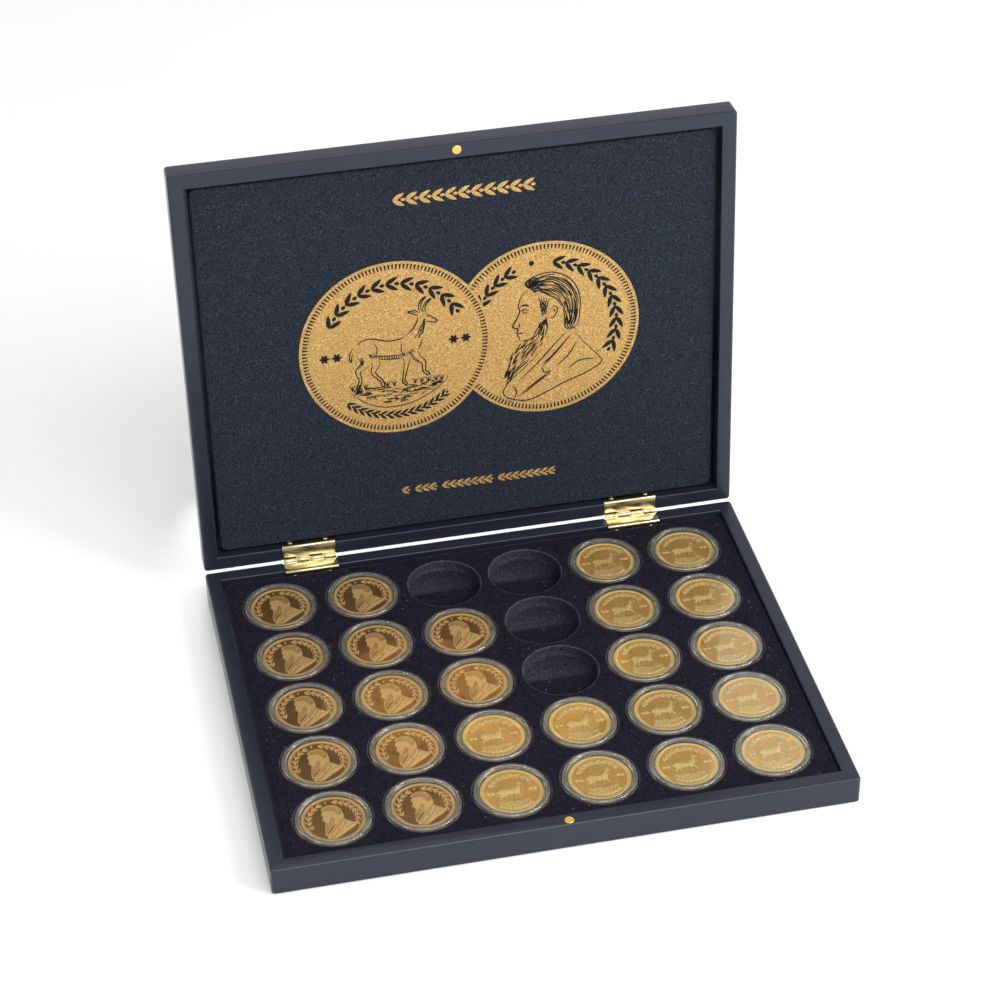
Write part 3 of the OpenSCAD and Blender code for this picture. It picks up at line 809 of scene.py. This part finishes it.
def between(a, b, count, seed, wave, parts):
    """Wavy hair strokes: count lines from a's shape to b's, each broken at random into a number of parts."""
    rng = np.random.default_rng(seed)
    a, b = curve(a, 10), curve(b, 10)
    out = []
    for k in range(count):
        line = a + (b - a) * k / (count - 1)
        t = np.linspace(0, 1, len(line))
        line = line + across(line) * (wave * np.sin(t * rng.uniform(14, 26) + rng.uniform(0, 6.28)))[:, None]
        cuts = np.sort(rng.choice(np.arange(4, len(line) - 4), parts - 1, replace=False))
        out += [p[:-2] if len(p) > 6 else p for p in np.split(line, cuts) if len(p) > 3]
    return out


HAIR_LINES = (
    between([(-0.17, 0.5), (-0.06, 0.59), (0.1, 0.605), (0.26, 0.5), (0.345, 0.32), (0.345, 0.12),
             (0.31, -0.01)],
            [(-0.12, 0.44), (-0.04, 0.42), (0.06, 0.37), (0.14, 0.3), (0.19, 0.2), (0.21, 0.08),
             (0.21, -0.02)], 13, 2, 0.004, 3)
    + between([(-0.18, 0.49), (-0.19, 0.54), (-0.13, 0.59), (-0.05, 0.6)],
              [(-0.13, 0.45), (-0.12, 0.5), (-0.06, 0.53), (0.02, 0.53)], 6, 7, 0.003, 1)
    + between([(0.05, 0.34), (0.02, 0.24), (0.01, 0.14)],
              [(-0.06, 0.37), (-0.04, 0.26), (-0.03, 0.1)], 5, 8, 0.004, 1))
BEARD_LINES = (
    between([(0.02, 0.12), (0.0, -0.1), (-0.13, -0.29), (-0.28, -0.45), (-0.43, -0.62)],
            [(-0.05, 0.06), (-0.13, -0.09), (-0.27, -0.16), (-0.38, -0.34), (-0.44, -0.55)], 13, 5, 0.007, 6))
COIN_LINES = (
    between([(-0.16, 0.48), (-0.04, 0.58), (0.1, 0.58), (0.24, 0.48), (0.33, 0.3), (0.33, 0.1)],
            [(-0.08, 0.42), (0.0, 0.42), (0.08, 0.38), (0.14, 0.3), (0.19, 0.2), (0.2, 0.06)], 5, 2, 0.006, 2)
    + between([(0.0, 0.1), (-0.01, -0.1), (-0.13, -0.28), (-0.28, -0.44), (-0.42, -0.6)],
              [(-0.1, 0.0), (-0.16, -0.1), (-0.26, -0.17), (-0.36, -0.32), (-0.43, -0.52)], 5, 5, 0.01, 3))
COAT_LINES = [[(0.22, -0.08), (0.05, -0.26), (-0.12, -0.44), (-0.3, -0.6)],
              [(0.27, -0.12), (0.1, -0.32), (-0.04, -0.46)], [(0.25, -0.14), (0.08, -0.33), (-0.05, -0.44)],
              [(-0.04, -0.46), (-0.02, -0.53), (0.06, -0.52)],
              [(0.06, -0.52), (-0.12, -0.64), (-0.3, -0.78)], [(0.05, -0.54), (-0.12, -0.66), (-0.26, -0.77)],
              [(0.34, -0.2), (0.24, -0.36), (0.1, -0.48)], [(0.54, -0.44), (0.36, -0.44), (0.24, -0.52)],
              [(-0.36, -0.64), (-0.32, -0.72), (-0.34, -0.8)]]
FACE_LINES = [[(-0.262, 0.275), (-0.22, 0.298), (-0.16, 0.282)],
              [(-0.252, 0.282), (-0.21, 0.29), (-0.17, 0.276)],
              [(-0.25, 0.225), (-0.215, 0.242), (-0.165, 0.222)],
              [(-0.24, 0.208), (-0.21, 0.2), (-0.18, 0.208)],
              [(-0.236, 0.232), (-0.228, 0.222), (-0.232, 0.21)],
              [(-0.29, 0.045), (-0.268, 0.055), (-0.27, 0.085)],
              [(-0.286, -0.034), (-0.255, -0.03), (-0.222, -0.038)],
              [(0.06, 0.2), (0.1, 0.24), (0.135, 0.21), (0.12, 0.15), (0.08, 0.1), (0.06, 0.12)],
              [(0.08, 0.19), (0.105, 0.2), (0.105, 0.17)]]


def leaf_pair(centre, along, size):
    """Two leaves and a bud, growing along a direction: one unit of a running ornament."""
    centre, u = np.array(centre), np.array(along) / np.linalg.norm(along)
    v = np.array([-u[1], u[0]])
    parts = []
    for s in (1, -1):
        line = [centre - 0.45 * size * u, centre - 0.1 * size * u + s * 0.22 * size * v,
                centre + 0.4 * size * u + s * 0.5 * size * v]
        parts.append((curve(line, 5), 0.32 * size, "leaf"))
    parts.append((np.array([centre + 0.12 * size * u, centre + 0.5 * size * u]), 0.26 * size, "leaf"))
    return parts


def arc_ornament(radius, start, end, count, size):
    """Leaf pairs along an arc, from one angle to another in degrees."""
    way = 1 if end > start else -1
    return [leaf for a in np.radians(np.linspace(start, end, count))
            for leaf in leaf_pair((radius * math.cos(a), radius * math.sin(a)),
                                  (-way * math.sin(a), way * math.cos(a)), size)]


def rosette(x, y, size):
    """Six leaves round a point."""
    return [(np.array([(x, y), (x + size * math.cos(a), y + size * math.sin(a))]), 0.55 * size, "leaf")
            for a in np.radians(np.arange(6) * 60)]


def strokes(lines, width, steps=6):
    """Smooth strokes through the points of each line; steps is 1 for lines that are smooth already."""
    return [(curve(line, steps), width, "line") for line in lines]


def stroke_points(line, kind):
    """A stroke's points, with more of them along a leaf that was given by its two ends."""
    p = np.array(line, float)
    if kind == "leaf" and len(p) == 2:
        p = p[0] + (p[1] - p[0]) * np.linspace(0, 1, 7)[:, None]
    return p


def stroke_width(kind, count, width):
    """Widths along a stroke of count points."""
    t = np.linspace(0, 1, count)
    if kind == "leaf":
        return width * np.maximum(np.sin(math.pi * t) ** 0.7, 0.04)
    if kind == "tooth":
        return width * np.linspace(0.5, 1, count)
    return width * np.maximum(np.sin(math.pi * t) ** 0.4, 0.15)


class Sheet:
    """Collects thin raised shapes, drawn in a unit disc, into one mesh."""

    def __init__(self, centre, size, low, high):
        self.centre, self.size, self.low, self.high = centre, size, low, high
        self.verts, self.faces = [], []

    def ribbon(self, line, width, kind):
        p = stroke_points(line, kind)
        half = across(p) * stroke_width(kind, len(p), width)[:, None] / 2
        first = len(self.verts)
        for a, b in zip(p + half, p - half):
            self.verts += [(*a, self.high), (*b, self.high), (*b, self.low), (*a, self.low)]
        last = len(self.verts) - 4
        self.faces += ring_faces(len(p), 4, first) + [tuple(range(at, at + 4)) for at in (first, last)]

    def make(self, name):
        """On the liner's face: the art's up is towards the lid's free edge."""
        place = SWING @ move(*self.centre, LID_Z + LINER_DEPTH + PRINT_LIFT)
        v = np.array(self.verts, float)
        v[:, :2] *= self.size
        v[:, 1:] *= -1
        return mesh_object(name, v, self.faces, place, merge=False)


def limb_depth(x, y, line):
    """How far points lie inside a limb; below zero outside it."""
    best = np.full(np.shape(x), -9.0)
    for px, py, pr in line:
        best = np.maximum(best, pr - np.hypot(x - px, y - py))
    return best


def limb_sides(line):
    """The two outlines of a limb, joined round its far end."""
    p, r = line[:, :2], line[:, 2:]
    side = across(p)
    tip = np.array([side[-1, 1], -side[-1, 0]])
    cap = [p[-1] + r[-1] * (math.cos(a) * side[-1] + math.sin(a) * tip) for a in np.radians([45, 90, 135])]
    return np.vstack([p + side * r, cap, (p - side * r)[::-1]])


def antelope_strokes():
    """Outlines of the limbs where no other limb covers them, with hatching inside."""
    limbs = {name: curve(points) for name, points in ANTELOPE.items()}
    runs, ticks = [], []
    for name, line in limbs.items():
        side = limb_sides(line)
        covered = np.full(len(side), -9.0)
        for other, shape in limbs.items():
            if other != name:
                covered = np.maximum(covered, limb_depth(side[:, 0], side[:, 1], shape))
        run = []
        for point, depth in [*zip(side, covered), (None, 9)]:
            if depth < 0.004:
                run.append(point)
            else:
                if len(run) > 2:
                    runs.append(run)
                run = []
    hatched = [("torso", 7, 30, 0.55, 0.95), ("neck", 4, 22, 0.35, 0.9), ("near_hind", 2, 14, 0.3, 0.85),
               ("near_fore", 2, 12, 0.3, 0.85)]
    for name, low, high, start, end in hatched:
        line = limbs[name]
        for k in range(low, min(high, len(line) - 1)):
            (x, y, r), (dx, dy) = line[k], (line[k + 1] - line[k - 1])[:2]
            dx, dy = r * dx / math.hypot(dx, dy), r * dy / math.hypot(dx, dy)
            ticks.append([(x + (dy + 0.25 * dx) * t, y + (0.25 * dy - dx) * t)
                          for t in (start, (start + end) / 2, end)])
    return strokes(runs, 0.016, 1) + strokes(ticks, 0.011, 3) + inner_lines(0.012)


def inner_lines(width):
    """Folds and features inside the antelope's outline."""
    inner = [[(-0.22, 0.09), (-0.19, 0.01), (-0.22, -0.09)], [(0.07, 0.07), (0.06, -0.03), (0.1, -0.12)],
             [(-0.24, -0.06), (-0.06, -0.085), (0.08, -0.085)], [(0.2, 0.08), (0.25, 0.16), (0.285, 0.26)],
             [(0.335, 0.32), (0.352, 0.327), (0.365, 0.316)], [(0.415, 0.257), (0.4, 0.252), (0.385, 0.257)],
             [(0.23, 0.385), (0.205, 0.39), (0.185, 0.394)]]
    return strokes(inner, width)


def mound_strokes():
    """The ground: its lower outline, stones and tufts of grass."""
    rng = np.random.default_rng(11)
    out = strokes([curve(MOUND, closed=True)[24:]], 0.012, 1)
    for _ in range(90):
        x = rng.uniform(-0.44, 0.46)
        y = rng.uniform(-0.66 + 0.95 * x * x, -0.44)
        length, lean = rng.uniform(0.02, 0.07), rng.uniform(-0.02, 0.02)
        stone = [(x - length, y), (x, y + 0.012 + lean), (x + length, y)]
        out += strokes([stone], rng.uniform(0.008, 0.015), 4)
    tufts = (-0.47, -0.4, -0.33, -0.1, -0.03, 0.19, 0.26, 0.33, 0.41, 0.47)
    blades = [[(x, -0.45), (x + lean / 2, -0.41), (x + lean, -0.38)]
              for x in tufts for lean in (-0.03, 0, 0.03)]
    return out + strokes(blades, 0.011, 4)


def bust_strokes():
    crown = [(-0.17, 0.49), (-0.2, 0.55), *HAIR[2:8], (0.24, -0.05)]
    nape = [[(x, 0.03), (x + 0.02, -0.03), (x + 0.05, -0.06)] for x in (0.2, 0.225, 0.25, 0.275)]
    hem = curve(COAT, 6, closed=True)[:72]
    return (strokes([FACE], 0.017) + strokes(HAIR_LINES, 0.015, 1) + strokes(BEARD_LINES, 0.014, 1)
            + strokes(COAT_LINES, 0.015) + strokes(FACE_LINES, 0.014) + strokes([hem], 0.015, 1)
            + strokes([crown], 0.014) + strokes(nape, 0.014, 4))


def antelope_ornament():
    middles = (-0.74, -0.03), (-0.61, -0.03), (0.61, 0.02), (0.74, 0.02)
    return (arc_ornament(0.745, 149, 31, 11, 0.155) + arc_ornament(0.79, 231, 309, 15, 0.095)
            + [mark for x, y in middles for mark in rosette(x, y, 0.055)])


def bust_ornament(count, size):
    diamond = [(np.array([(-0.13, 0.735), (-0.13, 0.8)]), 0.06, "leaf")]
    return diamond + arc_ornament(0.76, 78, -24, count, size) + arc_ornament(0.76, 200, 118, count - 2, size)


def print_disc(name, centre, low, drawing):
    """A foil disc whose gaps are drawn over it, low above the print's base."""
    high, teeth = low + FOIL_T, 153
    place = SWING @ move(*centre, LID_Z + LINER_DEPTH + PRINT_LIFT)
    disc = mesh_object(name + "_foil", *rod(PRINT_R, low, high, 256), place @ FLIP)
    finish_piece(disc, "lid", FOIL)
    art = Sheet(centre, PRINT_R, high, high + INK_T)
    for a in 2 * math.pi * np.arange(teeth) / teeth:
        u = np.array([math.cos(a), math.sin(a)])
        art.ribbon([u * 0.912, u * 0.95, u * 0.968], 0.024, "tooth")
    for stroke in drawing:
        art.ribbon(*stroke)
    finish_piece(art.make(name + "_drawing"), "lid", INK)


def print_band(name, x0, x1, y, groups, size):
    """A straight run of leaf pairs, in groups of the given counts."""
    space = 0.8
    step = (x1 - x0) / (sum(groups) + space * (len(groups) - 1))
    art = Sheet((0, 0), 1, 0, 0.05)
    at = x0 + step / 2
    for count in groups:
        for _ in range(count):
            for stroke in leaf_pair((at, -y), (1, 0), size):
                art.ribbon(*stroke)
            at += step
        at += space * step
    finish_piece(art.make(name), "lid", FOIL)


def lid_print():
    print_disc("print_right", (46.2, -3.8), 0, bust_strokes() + bust_ornament(11, 0.15))
    print_disc("print_left", (-37.4, -3), 0.07, antelope_strokes() + mound_strokes() + antelope_ornament())
    print_band("print_band_top", -35, 42.6, -92, [11], 7.4)
    print_band("print_band_bottom", -37.6, 50.3, 89, [1, 3, 7, 8], 5)


# ---------- coins ----------

def from_segment(x, y, ax, ay, bx, by):
    """How far points are from the line a-b, and how far along it, from 0 to 1, their nearest points are."""
    ex, ey = bx - ax, by - ay
    t = np.clip(((x - ax) * ex + (y - ay) * ey) / (ex * ex + ey * ey + 1e-12), 0, 1)
    return np.hypot(x - ax - t * ex, y - ay - t * ey), t


def outline_depth(x, y, outline):
    """How far points lie inside a closed outline; below zero outside it."""
    best, inside = np.full(x.shape, 9.0), np.zeros(x.shape, bool)
    for (ax, ay), (bx, by) in zip(outline, np.roll(outline, -1, axis=0)):
        best = np.minimum(best, from_segment(x, y, ax, ay, bx, by)[0])
        crosses = (ay > y) != (by > y)
        inside ^= crosses & (x < (bx - ax) * (y - ay) / (by - ay + 1e-12 * (by == ay)) + ax)
    return np.where(inside, best, -best)


def dome(depth, width, height):
    """A rounded rise from a shape's edge, reaching height at width inside it."""
    t = np.clip(depth / width, 0, 1)
    return height * np.sqrt(1 - (1 - t) ** 2)


def stroke_height(x, y, art, least):
    """A rounded ridge, one high, along each stroke; least is its least half width."""
    out = np.zeros(x.shape)
    for line, width, kind in art:
        p = stroke_points(line, kind)
        half = stroke_width(kind, len(p), width) / 2
        low, high = p.min(axis=0) - width - 0.03, p.max(axis=0) + width + 0.03
        near = np.where((x > low[0]) & (x < high[0]) & (y > low[1]) & (y < high[1]))[0]
        for a, b, w0, w1 in zip(p[:-1], p[1:], half[:-1], half[1:]):
            d, t = from_segment(x[near], y[near], *a, *b)
            d = d / np.maximum(w0 + (w1 - w0) * t, least)
            out[near] = np.maximum(out[near], np.sqrt(np.clip(1 - d * d, 0, 1)))
    return out


def frosting_and_groove_shade(height, grooves):
    """How frosty points are: fully from a little above the field, and less in the grooves, as painted shade.
    """
    return np.clip(height / 0.07, 0, 1) * (1 - 0.8 * grooves)


def antelope_relief(x, y):
    """Heights in mm above the field, and how frosty each point is, less so in its grooves as painted shade.
    """
    height = np.zeros(x.shape)
    for name, points in ANTELOPE.items():
        rise = 0.26 if name.startswith("far") else 0.42
        for px, py, pr in curve(points, 12):
            d2 = ((x - px) ** 2 + (y - py) ** 2) / pr ** 2
            height = np.maximum(height, rise * min(pr / 0.1, 1) ** 0.4 * np.sqrt(np.clip(1 - d2, 0, 1)))
    ground = outline_depth(x, y, curve(MOUND, 6, closed=True))
    grooves = stroke_height(x, y, inner_lines(0.026), 0.013)
    height = np.maximum(height - 0.1 * grooves, dome(ground, 0.05, 0.03))
    height += 0.14 * stroke_height(x, y, mound_strokes()[1::2], 0.013)
    ornament = (arc_ornament(0.73, 146, 34, 8, 0.2) + arc_ornament(0.78, 233, 307, 8, 0.15)
                + [mark for x0 in (-0.74, -0.6, 0.6, 0.74) for mark in rosette(x0, 0, 0.065)])
    height = np.maximum(height, ORNAMENT_RISE * stroke_height(x, y, ornament, 0.023))
    return height, frosting_and_groove_shade(height, grooves)


def bust_relief(x, y):
    """Heights in mm above the field, and how frosty each point is, less so in its grooves as painted shade.
    """
    ornament = ORNAMENT_RISE * stroke_height(x, y, bust_ornament(8, 0.18), 0.021)
    a = math.radians(12)  # how far the bust leans forward
    x, y = x * math.cos(a) + y * math.sin(a), y * math.cos(a) - x * math.sin(a)
    head = outline_depth(x, y, curve(HEAD, 5, closed=True))
    height = dome(outline_depth(x, y, curve(COAT, 5, closed=True)), 0.22, 0.24)
    height = np.maximum(height, dome(head, 0.3, 0.36))
    for outline, rise in ((HAIR, 0.1), (BEARD, 0.09)):
        depth = outline_depth(x, y, curve(outline, 5, closed=True))
        height = np.maximum(height, 0.16 * (depth > 0)) + dome(depth, 0.05, rise)
    hollows = (-0.215, 0.235, 0.045, 0.07), (-0.2, 0.02, 0.05, 0.04), (0.03, 0.2, 0.05, 0.05)
    for px, py, size, deep in hollows:
        height -= deep * np.exp(-((x - px) ** 2 + (y - py) ** 2) / size ** 2) * (head > 0)
    grooves = stroke_height(x, y, strokes(COIN_LINES, 0.036, 1), 0.016)
    folds = stroke_height(x, y, strokes(COAT_LINES, 0.03), 0.014)
    features = stroke_height(x, y, strokes(FACE_LINES, 0.032), 0.014)
    height = np.maximum(height - 0.1 * grooves - 0.1 * folds + 0.1 * features, 0)
    height = np.maximum(height, ornament)
    return height, frosting_and_groove_shade(height, np.maximum(grooves, folds))


def coin_mesh(name, relief, material):
    """A struck coin about its own centre: a polar height field between two raised rims."""
    n, half, low, edge_r = COIN_AROUND, COIN_T / 2, COIN_T / 2 - FIELD_DEPTH, COIN_ART_R
    angle = np.arange(n) * 2 * math.pi / n
    face = np.concatenate([[0.02], np.linspace(0.2, edge_r - 0.05, 84)])
    rim = fillet([(edge_r, low, 0), (edge_r + 0.1, low, 0.05), (edge_r + 0.25, half, 0.12),
                  (COIN_R - 0.25, half, 0.14), (COIN_R, half - 0.25, 0.1), (COIN_R, 0, 0)], 2)[:-1]
    r, a = np.meshgrid(face, angle, indexing="ij")
    x, y = r * np.cos(a), r * np.sin(a)
    height, frosted_and_groove_shaded = relief(x.ravel() / COIN_R, y.ravel() / COIN_R)
    height, frosted_and_groove_shaded = height.reshape(r.shape), frosted_and_groove_shaded.reshape(r.shape)
    tooth = np.clip(np.cos(a * COIN_TEETH), 0, 1) * np.clip((r - 14.2) / 0.3, 0, 1)
    around = (np.roll(height, -1, 1) - np.roll(height, 1, 1)) / (2 * angle[1] * np.maximum(r, 1))
    slope = np.hypot(np.gradient(height, face, axis=0), around)
    height = FIELD_DEPTH * np.tanh(np.maximum(height, 0.3 * tooth) / FIELD_DEPTH)
    verts = list(zip(x.ravel(), y.ravel(), (low + height).ravel()))
    # Frosty finish on the relief and the rim's teeth, less in the grooves as painted shade.
    frost_and_groove_shade = list(np.maximum(frosted_and_groove_shaded, tooth).ravel())
    # Painted shade at the foot of the relief's sloping sides, where they meet the field.
    painted_foot_shade = list((np.clip((slope - 0.15) / 0.4, 0, 1) * np.clip(1.1 - height / 0.16, 0, 0.9)).ravel())
    edge = list(rim) + [(r, -z) for r, z in rim[::-1]] + [(8, -low), (0.02, -low)]
    for r, z in edge:
        groove = 0.07 * (0.5 + 0.5 * np.cos(angle * COIN_TEETH)) if r > COIN_R - 0.02 else 0
        r = r - groove
        verts += list(zip(r * np.cos(angle), r * np.sin(angle), np.full(n, z)))
        frost_and_groove_shade += [0.9] * n
        painted_foot_shade += [0] * n
    obj = mesh_object(name, verts, capped(len(face) + len(edge), n), merge=False)
    keep_values(obj, "frost_and_groove_shade", frost_and_groove_shade)
    keep_values(obj, "painted_foot_shade", painted_foot_shade)
    paint(obj.data, material)
    return data_alone(obj, 50)


def capsule_mesh():
    """The two clear shells of a capsule, about the middle of its underside."""
    seam, top, r, pocket = (CAPSULE_R + COIN_R) / 2, CAPSULE_T, CAPSULE_R, COIN_R + 0.15
    window, sink = COIN_R + 0.2, 0.3
    lower = fillet([(0, 0, 0), (window, 0, 0), (r - 0.4, 0, 0.15), (r, 0.4, 0.15), (r, top / 2, 0),
                    (seam, top / 2, 0), (seam, top - WINDOW_T - 0.4, 0.1),
                    (pocket, top - WINDOW_T - 0.4, 0.1), (pocket, WINDOW_T, 0),
                    (pocket - 0.3, WINDOW_T, 0), (0, WINDOW_T, 0)], 2)
    upper = fillet([(0, top - sink, 0), (window, top - sink, 0), (window + 0.3, top - sink, 0.15),
                    (window + 0.7, top, 0.2), (18, top, 0), (18.15, top - 0.2, 0), (18.3, top, 0),
                    (r - 0.6, top, 0.3), (r - 0.1, top - 0.5, 0.25),
                    (r - 0.1, top / 2 + 0.04, 0.1), (seam + 0.05, top / 2 + 0.04, 0.1),
                    (seam + 0.05, top - WINDOW_T, 0.1), (window, top - WINDOW_T, 0),
                    (0, top - WINDOW_T, 0)], 2)
    verts, faces = lathe(lower)
    more, more_faces = lathe(upper)
    faces = faces + [tuple(i + len(verts) for i in f) for f in more_faces]
    obj = mesh_object("capsule", list(verts) + list(more), faces)
    obj.data.materials.append(WINDOW)
    obj.data.materials.append(SHELL)
    for face in obj.data.polygons:
        face.material_index = int(math.hypot(*face.center[:2]) > window * MM * 0.999)
    return data_alone(obj, 30)


def coins():
    bust = coin_mesh("bust_coin", bust_relief, PROOF)
    antelope = coin_mesh("antelope_coin", antelope_relief, SATIN)
    capsule = capsule_mesh()
    for row, column in CELLS:
        if (row, column) in EMPTY:
            continue
        body = f"capsule_r{row}_c{column}"
        design = bust if column < 3 or (column == 3 and row < 4) else antelope
        x, y = well_centre(row, column)
        for name, data, z in ((f"coin_r{row}_c{column}", design, CAPSULE_Z + CAPSULE_T / 2),
                              (f"capsule_shells_r{row}_c{column}", capsule, CAPSULE_Z)):
            obj = linked(name, data)
            obj.location = (x * MM, y * MM, z * MM)
            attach(obj, body)
        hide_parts(f"coin_{body}")


stage()
case()
tray_insert()
lid_liner()
lid_print()
fittings()
coins()
